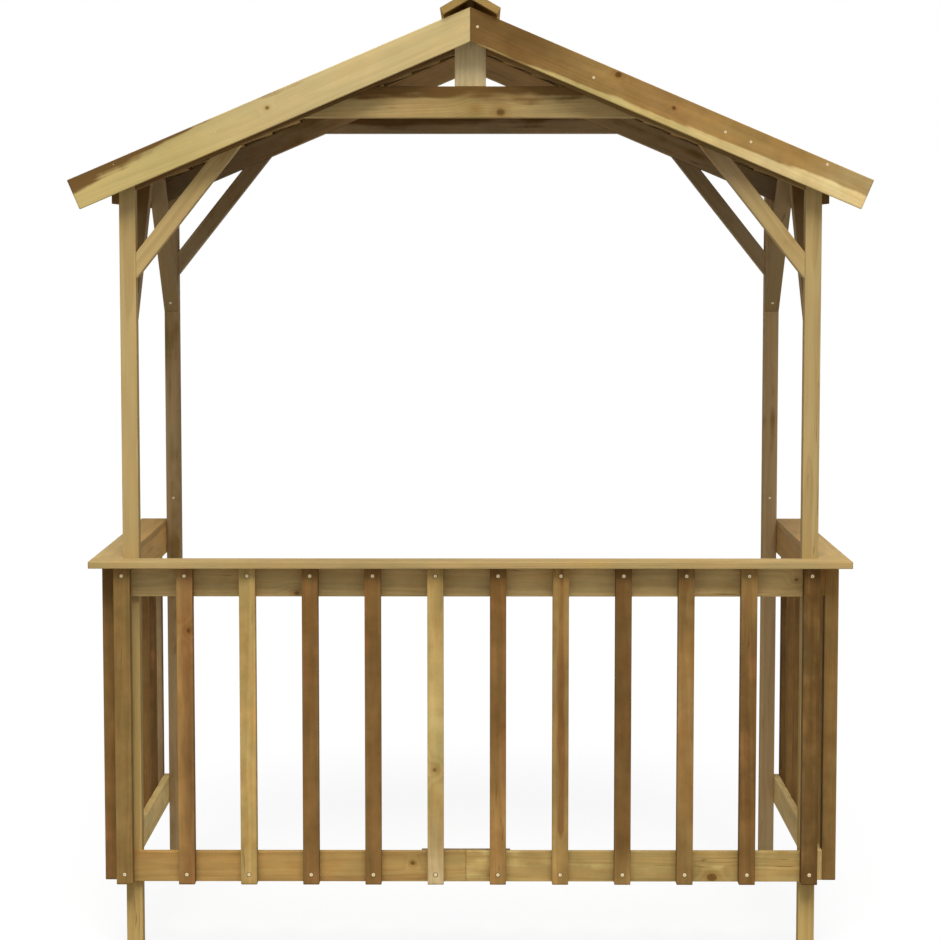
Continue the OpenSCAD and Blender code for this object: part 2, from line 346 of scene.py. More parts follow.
    # Gloss and relief: fibres stand up, cracks and knots lie lower
    rough = calc("ADD", calc("MULTIPLY", calc("SUBTRACT", fibre, late), 0.12), roughness)
    tree.links.new(rough, shader.inputs["Roughness"])
    shader.inputs["Specular IOR Level"].default_value = wood_gloss
    height = calc("ADD", calc("MULTIPLY", fibre, 0.55), calc("MULTIPLY", late, 0.3))
    height = calc("SUBTRACT", height, calc("MULTIPLY", check, 1.6))
    height = calc("SUBTRACT", height, ramp(near, 1.1, 0.9, 0, 0.5))
    if saw_marks:
        stroke = vector("ADD", grain, vector("MULTIPLY", drift, (0.004, 0, 0)))
        kerf = noise(stroke, (620, 5, 5), 1.0)
        height = calc("ADD", height, calc("MULTIPLY", kerf, saw_marks))
    relief = {"Strength": 0.5, "Distance": 0.0006, "Height": height}
    tree.links.new(add_node(tree, "ShaderNodeBump", relief), shader.inputs["Normal"])
    return material


corner_names = ("front_left", "front_right", "rear_left", "rear_right")
rafter_h = 0.05
post_finish = wood_finish(
    "post_finish", ring_gap=0.0042, ring_depth=0.24, fibre_depth=0.30, roughness=0.72,
    mottle=0.4, flecks=0.0,
)
post_tones = {
    # The front posts darken at the head: painted shade under the bargeboards.
    "front_left": (honey, [honey, honey * 0.97, sand * 0.88, sand * 0.95, sand * 0.86]),
    "front_right": (honey, [honey, honey, sand * 0.92, sand * 0.92, sand * 0.82]),
    # The rear posts take greyer tones than the front ones: painted shade under the roof.
    "rear_left": (olive, [ash * 1.2, ash * 1.25, ash * 1.2]),
    "rear_right": (olive, [ash * 1.25, ash * 1.4, ash * 1.35]),
}
for corner, (streak, tones) in post_tones.items():
    low, high = map(np.array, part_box(corner + "_post"))
    left = "left" in corner
    post_w = high[0] - low[0]
    face = roof_slope(left)[1]
    inner = np.array([high[0] if left else low[0], 0, high[2]])
    slope = (inner + face * rafter_h * ("front" in corner), face)
    foot = [(low[0] + high[0]) / 2, (low[1] + high[1]) / 2, low[2]]
    shape = cut_timber(
        foot, to_sky, to_front, rectangle(post_w, post_w), (foot, to_sky), slope,
        arris=0.002, rows=20,
    )
    colour_timber(shape, tones, streak, band=-0.9)
    assemble(corner + "_post_timber", [shape], post_finish, "post_timber", corner + "_post")

# --- Rafters -----------------------------------------------------------------
# Each gable has a pair of rafters of squared softwood on edge. They butt on the king
# post in a plumb cut and end plumb: the front pair between the posts, the rear pair on
# top of them.

roof_finish = wood_finish(
    "roof_finish", ring_gap=0.0038, ring_depth=0.20, fibre_depth=0.30, roughness=0.76,
)
rafter_tones = {
    # The front rafters are dark brown: painted shadow of the bargeboards on the strip that shows
    # below them.
    "front_left": ([bark * 1.15, umber, umber], olive, -0.9),
    "front_right": ([umber * 1.1, olive, olive * 1.1], olive, -0.9),
    # The rear rafters take greyer tones, darker towards the eaves: painted shade under the roof.
    "rear_left": ([ash * 1.65, ash * 1.15, shaded_grey, shaded_grey * 0.7], umber, -0.8),
    "rear_right": ([ash * 1.6, ash * 1.3, shaded_grey * 1.4, shaded_grey * 0.8], umber, -0.8),
}
king_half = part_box("front_king_post")[1][0]
for corner, (tones, streak, band) in rafter_tones.items():
    low, high = map(np.array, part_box(corner + "_rafter"))
    left = "left" in corner
    down, face = roof_slope(left)
    eave_x, king_x = (low[0], -king_half) if left else (high[0], king_half)
    heel = np.array([eave_x, (low[1] + high[1]) / 2, low[2]]) + face * rafter_h / 2
    if "front" in corner:
        eave_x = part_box(corner + "_post")[1 if left else 0][0]
    shape = cut_timber(
        heel, down, face, rectangle(high[1] - low[1], rafter_h),
        ((king_x, 0, 0), to_right), ((eave_x, 0, 0), to_right),
    )
    colour_timber(shape, tones, streak, band)
    assemble(corner + "_rafter_timber", [shape], roof_finish, "roof_timber", corner + "_rafter")

# --- Tie beams ---------------------------------------------------------------
# A board on edge ties each pair of rafters together below the ridge. Its ends are
# cut to the slope. The front one has brown heartwood along its top edge, drawn deeper
# towards its right end as painted shadow of the bargeboards; the rear one has a dark
# band along its top that is painted shadow of the front one.


def front_tie_heart_and_shade(run, across):
    """Heartwood above a line 9 mm over the middle, which also paints the bargeboards' shadow.
    The line humps by 6 mm a little left of the centre, and falls from 0.12 m right of it,
    where the painted shadow reaches lower."""
    hump = 0.006 * np.exp(-((run + 0.1) / 0.05) ** 2)
    return (across - 0.009 - hump + 0.05 * np.maximum(run - 0.12, 0)) / 0.014


def rear_tie_shadow(run, across):
    """Painted shadow of the front tie above a parabola that is lowest, 13 mm under the middle,
    at the centre.
    """
    return (across + 0.013 - 0.06 * run**2) / 0.012


for gable in ("front", "rear"):
    low, high = map(np.array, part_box(gable + "_tie_beam"))
    middle = (low + high) / 2
    shape = cut_timber(
        middle, to_right, to_front, rectangle(high[2] - low[2], high[1] - low[1]),
        ((low[0], 0, low[2]), roof_face_left), ((high[0], 0, low[2]), roof_face_right),
    )
    if gable == "front":
        colour_timber(
            shape, [sand * 0.88, sand * 0.95, honey * 0.68, sand * 0.9, sand * 0.88],
            bark * 1.25, front_tie_heart_and_shade, pith=(0.03, -0.05), slant=0.03,
            knots=[(0.068, -0.023, 0.012, 0.74), (0.012, -0.018, 0.010, 1.1)],
        )
    else:
        colour_timber(
            shape, [shaded_grey * 1.4, shaded_grey * 1.3, shaded_grey * 1.2, shaded_grey * 1.3, shaded_grey * 1.35],
            bark * 1.1, rear_tie_shadow,
        )
    assemble(gable + "_tie_timber", [shape], roof_finish, "roof_timber", gable + "_tie_beam")

# --- King posts --------------------------------------------------------------
# A short upright board stands on each tie beam, between the rafters. Its head is cut
# to the roof's two slopes, with a flat seat for the ridge board.

ridge_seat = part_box("ridge_board")[0][2]
for gable in ("front", "rear"):
    low, high = map(np.array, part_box(gable + "_king_post"))
    rafter_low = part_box(gable + "_left_rafter")[0]
    rafter_apex = rafter_low[2] - rafter_low[0] * math.tan(roof_pitch)
    rafter_top = rafter_apex + rafter_h / math.cos(roof_pitch)
    shoulder = rafter_top - king_half * math.tan(roof_pitch)
    seat = (rafter_top - ridge_seat) / math.tan(roof_pitch)
    outline = [
        [-king_half, low[2]], [king_half, low[2]], [king_half, shoulder],
        [seat, ridge_seat], [-seat, ridge_seat], [-king_half, shoulder],
    ]
    shape = cut_timber(
        np.zeros(3), to_front, to_sky, outline, (high, to_rear), (low, to_rear), rows=4,
    )
    # The outline is the board's face, so its grain runs up and none of it is a cut end
    x, y, z = np.moveaxis(shape["place"], -1, 0)
    shape["run"], shape["across"], shape["depth"] = z, x, low[1] - y
    shape["cut"] = 0 * shape["cut"]
    tones = [cream * 0.96, cream * 0.96, cream * 0.98]
    colour_timber(shape, tones, ash, band=-0.9, pith=(0.01, -0.08))
    assemble(gable + "_king_timber", [shape], roof_finish, "roof_timber", gable + "_king_post")

# --- Gable braces ------------------------------------------------------------
# Square braces run from the inner face of each post up to its rafter and keep the
# gable from racking. Both ends are cut to fit and screwed.

gable_brace_angle = math.radians(51.5)
brace_tones = {
    "front_left": [sand, sand * 0.95, sand * 0.95, sand * 0.9],
    "front_right": [sand, sand * 0.98, sand * 0.95, ash * 1.3, ash * 1.25],
    # The rear braces take the greyer shaded tone: painted shade under the roof.
    "rear_left": [shaded_grey * 1.6, shaded_grey * 1.3, shaded_grey],
    "rear_right": [shaded_grey * 1.6, shaded_grey * 1.25, shaded_grey],
}
for corner, tones in brace_tones.items():
    low, high = map(np.array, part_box(corner + "_gable_brace"))
    left = "left" in corner
    face = roof_slope(left)[1]
    inward = 1 if left else -1
    post_x, head_x = (low[0], high[0]) if left else (high[0], low[0])
    up = np.array([inward * math.cos(gable_brace_angle), 0, math.sin(gable_brace_angle)])
    square_to = np.array([-up[2], 0, up[0]]) * inward
    foot = np.array([post_x, (low[1] + high[1]) / 2, low[2]])
    shape = cut_timber(
        foot + square_to * post_w / 2, up, to_front, rectangle(post_w, post_w),
        (foot, to_right), ((head_x, 0, high[2]), face),
    )
    colour_timber(shape, tones, amber if "front" in corner else olive, band=-0.8)
    name = corner + "_gable_brace"
    assemble(name + "_timber", [shape], post_finish, "post_timber", name)

# --- Side braces -------------------------------------------------------------
# The same square braces run from the posts towards the middle of each side and end
# level with the top of the eaves rail. A screw from below holds each foot.

side_brace_angle = math.radians(47)
brace_screw_run = 0.031
# A grey olive for the side braces, which stand in shade under the roof: painted shade.
shaded_olive = (shaded_grey + olive) * 0.6
brace_places = []
for corner in corner_names:
    low, high = map(np.array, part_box(corner + "_side_brace"))
    inward = 1 if "front" in corner else -1
    post_y = low[1] if "front" in corner else high[1]
    up = np.array([0, inward * math.cos(side_brace_angle), math.sin(side_brace_angle)])
    square_to = np.array([0, -up[2], up[1]]) * inward
    foot = np.array([(low[0] + high[0]) / 2, post_y, low[2]])
    outward = -to_right if "left" in corner else to_right
    shape = cut_timber(
        foot + square_to * post_w / 2, up, outward, rectangle(post_w, post_w),
        (foot, to_rear), (high, to_sky),
    )
    colour_timber(shape, [shaded_olive, ash] if "rear" in corner else [ash, shaded_olive], olive, band=-0.9)
    brace_places.append((foot + up * brace_screw_run, -square_to))
    name = corner + "_side_brace"
    assemble(name + "_timber", [shape], post_finish, "post_timber", name)

# --- Eaves rails -------------------------------------------------------------
# A board on edge along each side joins the posts and rafter ends, with two screws at
# each post. Its top edge is bevelled to the slope, so that the lowest roof boards lie
# flat on it.

for side in ("left", "right"):
    low, high = map(np.array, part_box(side + "_eaves_rail"))
    lift = (high[0] - low[0]) * math.tan(roof_pitch)
    tops = (high[2] - lift, high[2]) if side == "left" else (high[2], high[2] - lift)
    outline = [[low[0], low[2]], [high[0], low[2]], [high[0], tops[1]], [low[0], tops[0]]]
    middle = np.array([(low[0] + high[0]) / 2, 0, (low[2] + high[2]) / 2])
    outward = -1 if side == "left" else 1
    local = [[(z - middle[2]) * outward, (x - middle[0]) * outward] for x, z in outline]
    shape = cut_timber(
        middle, to_rear, to_right * outward, local, (low, to_rear), (high, to_rear),
    )
    # Dark brown tones: painted shade, as the rails lie in the shadow under the eaves.
    colour_timber(shape, [umber, olive, umber], bark, band=-0.5)
    assemble(side + "_eaves_timber", [shape], roof_finish, "roof_timber", side + "_eaves_rail")

# --- Ridge board -------------------------------------------------------------
# A board on edge runs from gable to gable in a slot between the rafters' heads. Its
# top is bevelled both ways for the cap boards.

cap_pitch = math.radians(30)
low, high = map(np.array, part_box("ridge_board"))
shoulder = high[2] - high[0] * math.tan(cap_pitch)
outline = [
    [low[0], low[2]], [high[0], low[2]], [high[0], shoulder], [0, high[2]], [low[0], shoulder],
]
middle = np.array([0, 0, (low[2] + high[2]) / 2])
local = [[-x, z - middle[2]] for x, z in outline]
shape = cut_timber(
    middle, to_rear, to_sky, local, (low, to_rear), (high, to_rear), arris=0.001,
)
colour_timber(shape, [bark, umber, bark], bark)
assemble("ridge_board_timber", [shape], roof_finish, "roof_timber", "ridge_board")

# --- Roof boards -------------------------------------------------------------
# Twelve feather edged boards a side, sawn, each lapping the one below. They are laid
# from the eaves up, between the bargeboards, and nailed to the rafters.

board_finish = wood_finish(
    "board_finish", ring_gap=0.0036, ring_depth=0.32, fibre_depth=0.36, roughness=0.82,
    saw_marks=0.5,
)
courses, lap_over, lap_bearing = 12, 0.02, 0.01
lap_thin, lap_thick, lap_gap = 0.005, 0.011, 0.0005
# How far a butt stands off its rafter, worked out on a nominal width of board
lap_share = lap_over / 0.1
lap_lift = (lap_thin + (lap_thick - lap_thin) * lap_share + lap_gap) / (1 - lap_share)
nail_up_from_butt = 0.032
ridge_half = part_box("ridge_board")[1][0]
rafter_boxes = [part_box(gable + "_left_rafter") for gable in ("front", "rear")]
rafter_lines = [(box_low[1] + box_high[1]) / 2 for box_low, box_high in rafter_boxes]
roof_places = []
for side in ("left", "right"):
    low, high = map(np.array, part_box(side + "_roof_boards"))
    down, face = roof_slope(side == "left")
    peak = np.array([0, 0, rafter_top])
    lap_start = (ridge_half + lap_gap) / math.cos(roof_pitch)
    # The node's outermost line is the upper edge of the lowest board's butt
    outer = max(-low[0], high[0])
    reach = (outer - (lap_lift + lap_thick) * math.sin(roof_pitch)) / math.cos(roof_pitch)
    gauge = (reach - lap_start - lap_over) / courses
    lap_w = gauge + lap_over
    across = np.cross(face, to_rear) @ down
    outline = np.array([
        [0, 0], [0, lap_thin], [lap_w, lap_lift + lap_thick], [lap_w, lap_lift], [lap_bearing, 0],
    ]) * [across, 1]
    shapes = []
    for course in range(courses):
        middle = peak + down * (lap_start + course * gauge)
        shape = cut_timber(
            middle, to_rear, face, outline, (low, to_rear), (high, to_rear),
            arris=0.0005, rows=10,
        )
        warm = draw.uniform(0, 1)
        base = ochre * (1 - warm) + honey * warm
        knots = [(draw.uniform(low[1], high[1]), across * draw.uniform(0.03, 0.09), 0.007, 0.2)]
        colour_timber(
            shape, [base, base * draw.uniform(0.85, 1.05)], amber * 0.9,
            band=draw.uniform(-1.8, -0.2), pith=(across * 0.05, -0.06), knots=knots,
        )
        shapes.append(shape)
        tilt = (lap_lift + lap_thick - lap_thin) / lap_w
        nail_run = lap_w - nail_up_from_butt
        nail = middle + down * nail_run + face * (lap_thin + tilt * nail_run)
        normal = (face - down * tilt) / math.hypot(1, tilt)
        roof_places += [((nail[0], y, nail[2]), normal) for y in rafter_lines]
    assemble(side + "_lapped_boards", shapes, board_finish, "roof_board", side + "_roof_boards")

# --- Bargeboards -------------------------------------------------------------
# Knotty planed boards close the ends of the roof, mitred plumb at the ridge and cut
# square at the eaves. The left front one is pale with a wedge of heartwood; the right
# front one is red brown, with a pale band of sapwood along its lower edge.

pale_finish = wood_finish(
    "pale_finish", ring_gap=0.0046, ring_depth=0.10, fibre_depth=0.16, roughness=0.74,
    mottle=0.6, flecks=0.15,
)
barge_finish = wood_finish(
    "barge_finish", ring_gap=0.0046, ring_depth=0.14, fibre_depth=0.22, roughness=0.74,
    mottle=0.9, flecks=0.6,
)
barge_w = 0.07
barge_half_rise = barge_w / 2 / math.cos(roof_pitch)
pale = (straw + cream) / 2


def heart_wedge(run, across):
    """Heartwood above a line that starts at the upper edge 0.66 m down the slope and
    falls with the root of the run past there; before it, the line rises clear."""
    fall = 0.062 * np.sqrt(np.maximum(run - 0.66, 0)) - 0.03 * np.maximum(0.66 - run, 0)
    return (across - barge_w / 2 - 0.001 + fall) / 0.011


def sapwood_band(run, across):
    """Sapwood below a line that leaves the lower edge 0.12 m down the slope and rises
    with the power 0.7 of the run past there."""
    rise = 0.033 * np.maximum(run - 0.12, 0) ** 0.7
    return (rise - barge_w / 2 - across) / 0.0038


for corner in corner_names:
    low, high = map(np.array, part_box(corner + "_bargeboard"))
    left = "left" in corner
    down, face = roof_slope(left)
    outside = to_front if "front" in corner else to_rear
    turned = float(np.cross(outside, down) @ face)
    apex = np.array([0, (low[1] + high[1]) / 2, high[2] - barge_half_rise])
    end_x = low[0] if left else high[0]
    end = np.array([end_x, 0, high[2] - abs(end_x) * math.tan(roof_pitch)])
    shape = cut_timber(
        apex, down, outside, rectangle(barge_w, high[1] - low[1]),
        ((0, 0, 0), to_right), (end, down), rows=90,
    )
    shape["across"] = shape["across"] * turned
    if corner == "front_left":
        colour_timber(
            shape, [pale, pale * 0.98, pale * 0.93, straw * 0.86, straw * 0.92],
            bark * 1.22, heart_wedge, pith=(0.01, -0.07), slant=0.01,
            knots=[(0.489, 0.007, 0.0036, 0.2)],
        )
    elif corner == "front_right":
        tones = [umber * 0.85, umber, ochre * 0.74, amber * 0.9, ochre * 0.86, ochre * 0.8]
        sapwood = [ochre * 0.8, straw * 0.85, straw * 0.9, pale, pale * 1.22]
        colour_timber(
            shape, [*tones, sand * 0.75], sapwood, sapwood_band, pith=(0.03, -0.06), slant=-0.01,
            knots=[(0.347, 0.026, 0.006, 0.3), (0.490, 0.007, 0.0038, 0.2)],
        )
    else:
        knot_run = draw.uniform(0.2, 0.8)
        colour_timber(
            shape, [honey, sand, ochre], umber, band=-0.9, knots=[(knot_run, 0.01, 0.009, 0.0)],
        )
    name = corner + "_bargeboard"
    finish = pale_finish if corner == "front_left" else barge_finish
    assemble(name + "_timber", [shape], finish, "bargeboard", name)

# --- Ridge cap ---------------------------------------------------------------
# Two planed boards, nailed to the bevelled top of the ridge board, shed the rain past
# the top roof boards. They reach over the bargeboards at both gables.

cap_finish = wood_finish(
    "cap_finish", ring_gap=0.0042, ring_depth=0.24, fibre_depth=0.30, roughness=0.72,
    flecks=0.3,
)
board_t = 0.016
for side in ("left", "right"):
    low, high = map(np.array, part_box(side + "_ridge_cap"))
    out, outer, inner = (-1, low[0], high[0]) if side == "left" else (1, high[0], low[0])
    foot_x = outer - out * board_t * math.sin(cap_pitch)
    top_z = high[2] - (abs(outer) - abs(inner)) * math.tan(cap_pitch)
    outline = [
        [foot_x, low[2]], [outer, top_z], [inner, high[2]],
        [inner, high[2] - board_t / math.cos(cap_pitch)],
    ]
    middle = np.array([(outer + inner) / 2, 0, (low[2] + high[2]) / 2])
    local = [[-(x - middle[0]), z - middle[2]] for x, z in outline]
    shape = cut_timber(
        middle, to_rear, to_sky, local, (low, to_rear), (high, to_rear), arris=0.0014,
    )
    colour_timber(shape, [honey * 0.93, honey, honey], amber, band=-1.0, pith=(0.0, -0.09))
    assemble(side + "_cap_timber", [shape], cap_finish, "ridge_cap", side + "_ridge_cap")

# --- Rails -------------------------------------------------------------------
# Boards on edge carry the balusters: one under the counter and one near the ground on
# each side. The front bottom rail is in two lengths, joined over a plate behind it.

rail_finish = wood_finish(
    "rail_finish", ring_gap=0.0040, ring_depth=0.22, fibre_depth=0.28, roughness=0.70,
)
rail_tones = {
    "front_top_rail": (
        [sand * 0.95, sand, sand * 1.15, sand * 1.15], amber, -1.1,
        [(0.742, 0.004, 0.006, 0.8), (-0.395, -0.027, 0.008, 0.8)],
    ),
    "left_top_rail": ([ochre * 1.5, ochre * 1.5], amber * 1.2, -0.9, []),
    "right_top_rail": ([amber * 1.25, amber * 1.25], olive, -0.9, []),
    "front_left_bottom_rail": (
        [ochre * 0.95, ochre, honey * 0.85], amber, -0.7, [(-0.132, 0.008, 0.005, 0.4)],
    ),
    "front_right_bottom_rail": (
        [honey * 0.9, honey * 0.85, honey * 0.93], straw, -0.9, [(0.555, -0.025, 0.009, 0.2)],
    ),
    "bottom_rail_splice": ([shaded_grey, shaded_grey], umber, -0.9, []),
    # The left side rail is paler than the right: partly its own tone, partly painted light
    # standing in for light on its inner face.
    "left_bottom_rail": ([cream * [1.25, 1.2, 0.95]] * 2, straw * 1.15, -0.9, []),
    "right_bottom_rail": ([cream * [1.02, 0.97, 0.8]] * 2, straw, -0.9, []),
}
# The two lengths of the bottom rail butt tightly: each closes its share of the gap
joint_share = 0.00045
for node, (tones, streak, band, knots) in rail_tones.items():
    low, high = map(np.array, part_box(node))
    middle = (low + high) / 2
    if node.startswith(("left", "right")):
        middle[1] = 0
        outward = -to_right if "left" in node else to_right
        shape = cut_timber(
            middle, to_rear, outward, rectangle(high[2] - low[2], high[0] - low[0]),
            (low, to_rear), (high, to_rear),
        )
    else:
        middle[0] = 0
        low[0] -= joint_share * (node == "front_right_bottom_rail")
        high[0] += joint_share * (node == "front_left_bottom_rail")
        shape = cut_timber(
            middle, to_right, to_front, rectangle(high[2] - low[2], high[1] - low[1]),
            (low, to_right), (high, to_right), arris=0.0016 if "top" in node else 0.0008, rows=20,
        )
    colour_timber(shape, tones, streak, band, knots=knots)
    assemble(node + "_timber", [shape], rail_finish, "rail_board", node)

# --- Balusters ---------------------------------------------------------------
# Planed uprights are screwed to the faces of the rails, twelve across the front and
# seven down each side. They come from mixed stock, so each has a tint of its own.

baluster_finish = wood_finish(
    "baluster_finish", ring_gap=0.0040, ring_depth=0.24, fibre_depth=0.28, roughness=0.70,
    mottle=1.1, flecks=0.75,
)
baluster_w, baluster_t = 0.037, 0.032
head_to_screw, foot_to_screw = 0.019, 0.023


def right_heart(run, across):
    """Heartwood on the right of a line 2 mm left of the middle."""
    return (0.002 - across) / 0.012


def middle_heart(run, across):
    """Heartwood within 7 mm of a line that sways by 1 mm as a sine of the height. It
    fades out towards the foot from 0.13 m up."""
    sway = 0.001 * np.sin(9 * run)
    return (0.007 - np.abs(across + sway)) / 0.005 - 60 * np.maximum(0.13 - run, 0)


front_tones = [
    ([olive, olive * 0.92, olive * 0.95], umber, -0.8, []),
    ([amber * 0.7, amber * 0.9, amber * 1.1, amber * 0.8], (russet + amber) * 0.42,
     right_heart, [(0.586, -0.009, 0.006, 0.7)]),
    ([honey * 0.88, honey * 0.96, honey], ochre, -0.8, []),
    ([umber, umber, umber], russet, -0.8, []),
    ([umber, umber, umber], russet, -1.0, []),
    ([cream * 0.78, honey * 0.86, straw * 0.84, honey * 0.84, honey * 0.76], ochre, -1.0,
     [(0.266, 0.002, 0.008, 0.85)]),
    ([amber * 1.05, amber * 0.98, umber, umber, umber], russet, -0.8, []),
    ([olive * 1.4, olive * 1.2, olive * 1.2, olive * 1.4], (russet + umber) / 2,
     middle_heart, []),
    ([olive * 1.2, *[bark * 1.3] * 5, *[bark * 1.1] * 5], russet, -0.9, []),
    ([olive * 0.9, amber * 0.88, amber * 0.93, umber * 0.86], olive, -0.6, []),
    ([umber * 1.05, bark * 1.2, bark * 1.15, olive * 1.2], (russet + umber) / 2, -0.7, []),
    ([bark * 0.9, bark, bark * 0.85, bark], umber, -1.0, []),
]
screw_places = []
low, high = map(np.array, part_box("front_baluster_row"))
pitch = (high[0] - low[0] - baluster_w) / (len(front_tones) - 1)
shapes = []
for place, (tones, streak, band, knots) in enumerate(front_tones):
    x = low[0] + baluster_w / 2 + place * pitch
    foot = np.array([x, (low[1] + high[1]) / 2, low[2]])
    shape = cut_timber(
        foot, to_sky, to_front, rectangle(baluster_w, baluster_t), (low, to_sky), (high, to_sky),
        arris=0.0018, rows=16,
    )
    colour_timber(shape, tones, streak, band, knots=knots)
    shapes.append(shape)
    heights = high[2] - head_to_screw, low[2] + foot_to_screw
    screw_places += [((x, low[1], z), to_front) for z in heights]
assemble("front_balusters", shapes, baluster_finish, "baluster", "front_baluster_row")

side_tones = {
    "left": [umber * 0.9, ash, bark, olive, umber, bark, ash],
    "right": [(umber + olive) * 0.44, olive, bark, umber, umber, umber, bark],
}
head_tint = {"left": 1.0, "right": 2.1}
for side, order in side_tones.items():
    low, high = map(np.array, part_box(side + "_baluster_row"))
    outward = -to_right if side == "left" else to_right
    pitch = (high[1] - low[1] - baluster_w) / (len(order) - 1)
    outer = low[0] if side == "left" else high[0]
    shapes = []
    for place, base in enumerate(order):
        y = low[1] + baluster_w / 2 + place * pitch
        foot = np.array([(low[0] + high[0]) / 2, y, low[2]])
        shape = cut_timber(
            foot, to_sky, outward, rectangle(baluster_w, baluster_t), (low, to_sky),
            (high, to_sky), arris=0.0018, rows=16,
        )
        tones = [base, base * 1.1, base * 1.1, base, base * head_tint[side]]
        colour_timber(shape, tones, russet, band=-1.1)
        shapes.append(shape)
        heights = high[2] - head_to_screw, low[2] + foot_to_screw
        screw_places += [((outer, y, z), outward) for z in heights]
    assemble(side + "_balusters", shapes, baluster_finish, "baluster", side + "_baluster_row")

# --- Counter -----------------------------------------------------------------
# Planed boards lie flat on the rails and balusters, screwed up from below. The front
# one runs past both corners, and the side ones butt against its back edge. The side
# ones are darker brown on their inner parts, as painted shade of the roof.

counter_finish = wood_finish(
    "counter_finish", ring_gap=0.0046, ring_depth=0.18, fibre_depth=0.26, roughness=0.68,
    mottle=0.9, flecks=0.12,
)


def inner_roof_shade(to_left):
    """Painted shade of the roof, from the inner edge to a line 6 mm past the middle at mid
    length, which moves 0.13 m outwards for each metre to the rear; to_left is 1 where the
    inner edge is the left one, and -1 where it is the right one."""
    return lambda run, across: (0.006 + 0.13 * run + to_left * across) / 0.012


counter_tones = {
    "front_counter_board": ([sand * 0.87, sand * 0.83, sand * 0.9], honey, -0.8),
    # The side boards' streak colour is the painted shade on their inner parts.
    "left_counter_board": ([sand * 0.92, sand * 0.92], olive * 1.8, inner_roof_shade(-1)),
    "right_counter_board": ([sand * 0.92, sand * 0.92], (ash + ochre) * 0.55, inner_roof_shade(1)),
}
for node, (tones, streak, band) in counter_tones.items():
    low, high = map(np.array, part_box(node))
    middle = (low + high) / 2
    if node == "front_counter_board":
        along, board_w = to_right, high[1] - low[1]
    else:
        along, board_w = to_rear, high[0] - low[0]
    shape = cut_timber(
        middle, along, to_sky, rectangle(board_w, high[2] - low[2]), (low, along), (high, along),
        arris=0.0018, rows=20,
    )
    colour_timber(shape, tones, streak, band, pith=(0.01, -0.08))
    assemble(node + "_timber", [shape], counter_finish, "counter_board", node)

# --- Screws ------------------------------------------------------------------
# Countersunk screws with a yellow passivated coat hold the boards. Each head sits level
# with the wood and has a six pointed recess for the driver. Small pins of the same
# finish hold the pale bargeboard, and plain nails the roof boards.


def screw_heads(name, places, head, rim=1.0, recess=0.15):
    """Heads as a grid of angle and ring: from a buried ring out to the rim, which is dark
    as crushed fibres and as painted shadow of the countersink, in to the head's edge, over
    a low dome, down into a recess whose edge swings six times a turn, and to the middle;
    a nail has no recess. The buried ring and the middle one are each closed by one face."""
    turns, lobe = 12, np.tile([1.0, 0.76], 6)
    angle = np.arange(turns) * 2 * math.pi / turns
    reach = np.array([rim, rim, 1.0, 0.93, 0.36, 0.31, 0.2])[:, None] * np.ones(turns)
    reach[4:6] *= lobe
    rise = np.array([-0.3, 0.015, 0.03, 0.11, 0.15, 0.15 - recess, 0.14 - recess])
    rise = rise[:, None] * np.ones(turns)
    ring = np.stack([reach * np.cos(angle), reach * np.sin(angle), rise], axis=-1) * head
    cell = np.arange(ring.shape[0] * turns).reshape(-1, turns)
    ahead = np.roll(cell, -1, axis=1)
    quads = np.stack([cell[:-1], ahead[:-1], ahead[1:], cell[1:]], axis=-1).reshape(-1, 4)
    spots = np.array([p for p, _ in places], float)
    out = np.array([n for _, n in places], float)
    side = np.cross(out, np.where(np.abs(out[:, 2:]) > 0.9, to_right, to_sky))
    side /= np.linalg.norm(side, axis=1, keepdims=True)
    over = np.cross(out, side)
    spin = draw.uniform(0, math.pi, len(spots))[:, None]
    first = side * np.cos(spin) + over * np.sin(spin)
    second = over * np.cos(spin) - side * np.sin(spin)
    flat = ring.reshape(-1, 3)
    points = (
        spots[:, None] + flat[None, :, :1] * first[:, None]
        + flat[None, :, 1:2] * second[:, None] + flat[None, :, 2:] * out[:, None]
    )
    step = (np.arange(len(spots)) * len(flat))[:, None, None]
    faces = (quads[None] + step).reshape(-1, 4).tolist()
    faces += (cell[0, ::-1][None] + step[..., 0]).tolist()
    faces += (cell[-1][None] + step[..., 0]).tolist()
    piece = bpy.data.meshes.new(name)
    piece.from_pydata(points.reshape(-1, 3), [], faces)
    piece.materials.append(screw_finish)
    piece.materials.append(crushed_and_shade_finish)
    # The outer two bands and the buried face are dark: crushed wood, and painted shadow of the
    # countersink
    kind = np.tile(np.arange(len(quads)) < 2 * turns, len(spots)).astype(int)
    kind = np.concatenate([kind, np.ones(len(spots), int), np.zeros(len(spots), int)])
    piece.polygons.foreach_set("material_index", kind if rim > 1 else 0 * kind)
    thing = put_in_scene(name, piece)
    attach(thing, "root")


def speckled_finish(name, specks_per_metre, first, second):
    """A finish whose colour goes between two tones with a fine noise. Also returns its
    shader and the noise."""
    material = bpy.data.materials.new(name)
    material.use_nodes = True
    tree = material.node_tree
    shader = tree.nodes["Principled BSDF"]
    where = add_node(tree, "ShaderNodeTexCoord", {}, out=3)
    sockets = {"Vector": where, "Scale": specks_per_metre, "Detail": 2.0}
    speck = add_node(tree, "ShaderNodeTexNoise", sockets)
    colours = {0: speck, 6: (*first, 1), 7: (*second, 1)}
    colour = add_node(tree, "ShaderNodeMix", colours, 2, data_type="RGBA")
    tree.links.new(colour, shader.inputs["Base Color"])
    return material, shader, speck


crushed_and_shade_finish, shader, speck = speckled_finish(
    "crushed_and_shade_finish", 700.0, tone(108, 82, 46), tone(136, 106, 62),
)
shader.inputs["Roughness"].default_value = 0.8
shader.inputs["Specular IOR Level"].default_value = wood_gloss

